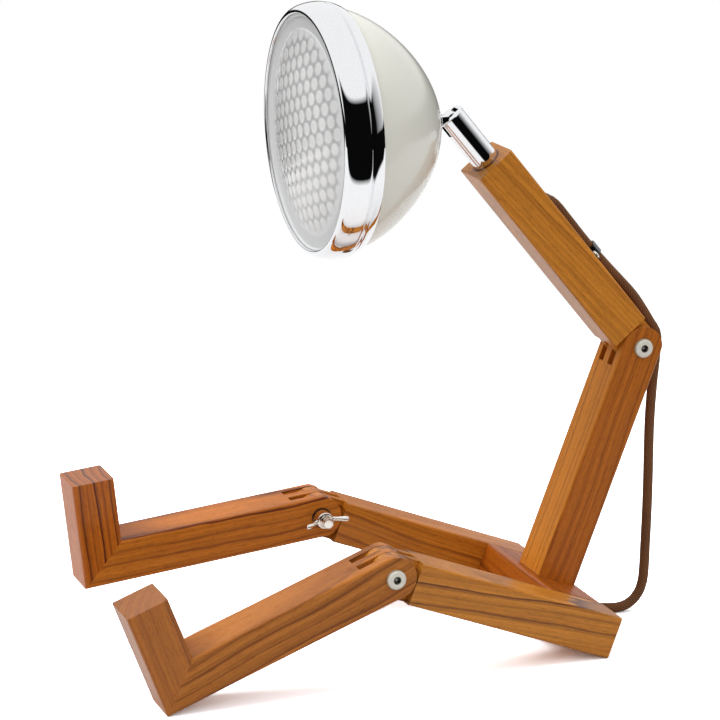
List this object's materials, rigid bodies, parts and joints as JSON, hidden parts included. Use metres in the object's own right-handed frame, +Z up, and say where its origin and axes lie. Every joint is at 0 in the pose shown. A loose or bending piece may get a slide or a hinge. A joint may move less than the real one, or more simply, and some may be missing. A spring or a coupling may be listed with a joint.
{
  "type": "robot shaped desk lamp",
  "caption": "Desk lamp shaped like a seated wooden figure: headlamp head on a tilting neck, hinged waist and knees clamped by bolts and wing nuts, and a coiled fabric cord with a plug.",
  "frame": {"origin": "on the floor, under the middle of the figure's bounding box, measured without the cord and plug", "axes": "+Z up; the figure faces -Y, and its left side is +X"},
  "size_m": [0.2411, 0.3529, 0.3763],
  "materials": {
    "wood": "satin, golden brown hardwood",
    "wood_dark": "satin, red-brown hardwood",
    "dowel": "plain",
    "nickel": "nickel-plated, polished",
    "chrome": "polished",
    "cream": "glossy cream enamel",
    "rubber": "matte",
    "glass": "pressed glass",
    "mirror": "mirror bright",
    "ceramic": "glazed ceramic look",
    "bulb_glass": "frosted",
    "cord": "round cord with a brown woven cover",
    "strap": "matte",
    "plug": "moulded",
    "pin_metal": "bright"
  },
  "bodies": {
    "seat": {"hip_bar": "wood", "thigh_left": "wood", "thigh_right": "wood", "seat_dowels": "dowel", "spine": "wood_dark", "spine_screws": "nickel", "waist_bolt": "nickel", "waist_washer": "nickel", "cord": "cord", "cord_coil": "cord", "cord_tail": "cord", "coil_tie": "strap", "plug_body": "plug", "plug_pins": "pin_metal"},
    "waist_nut": {"waist_wing": "nickel"},
    "left_shin": {"shin_left": "wood_dark", "foot_left": "wood", "knee_bolt_left": "nickel", "knee_washer_left": "nickel"},
    "left_knee_nut": {"knee_wing_left": "nickel"},
    "right_shin": {"shin_right": "wood_dark", "foot_right": "wood", "knee_bolt_right": "nickel", "knee_washer_right": "nickel"},
    "right_knee_nut": {"knee_wing_right": "nickel"},
    "arm": {"upper_beam": "wood", "cord_clip": "nickel", "clip_screw": "nickel"},
    "neck": {"neck_rod": "chrome", "knuckle_pin": "chrome"},
    "head": {"head_stem": "chrome", "stem_nut": "nickel", "bowl": "cream", "rim": "chrome", "rim_screw": "nickel", "gasket": "rubber", "lens": "glass", "reflector": "mirror", "lamp_holder": "ceramic", "bulb": "bulb_glass"}
  },
  "joints": [
    {"name": "knee_left", "type": "hinge", "parent": "seat", "child": "left_shin", "pos_m": [0.061, -0.01789, 0.06363], "axis": [1, 0, 0], "range_deg": [-41, 48]},
    {"name": "knee_right", "type": "hinge", "parent": "seat", "child": "right_shin", "pos_m": [-0.061, -0.01789, 0.06363], "axis": [1, 0, 0], "range_deg": [-27, 62]},
    {"name": "waist", "type": "hinge", "parent": "seat", "child": "arm", "pos_m": [0, 0.16064, 0.16595], "axis": [1, 0, 0], "range_deg": [-75, 29], "deforming": ["cord"]},
    {"name": "neck_swivel", "type": "hinge", "parent": "arm", "child": "neck", "pos_m": [0, 0.04551, 0.30562], "axis": [0, -0.6361, 0.7716], "range_deg": [-170, 170]},
    {"name": "head_tilt", "type": "hinge", "parent": "neck", "child": "head", "pos_m": [0, 0.04551, 0.30562], "axis": [1, 0, 0], "range_deg": [-50, 38]},
    {"name": "waist_nut_turn", "type": "hinge", "parent": "seat", "child": "waist_nut", "pos_m": [-0.016, 0.16064, 0.16595], "axis": [1, 0, 0], "continuous": true},
    {"name": "left_knee_nut_turn", "type": "hinge", "parent": "left_shin", "child": "left_knee_nut", "pos_m": [0.045, -0.01789, 0.06363], "axis": [1, 0, 0], "continuous": true},
    {"name": "right_knee_nut_turn", "type": "hinge", "parent": "right_shin", "child": "right_knee_nut", "pos_m": [-0.045, -0.01789, 0.06363], "axis": [1, 0, 0], "continuous": true}
  ]
}
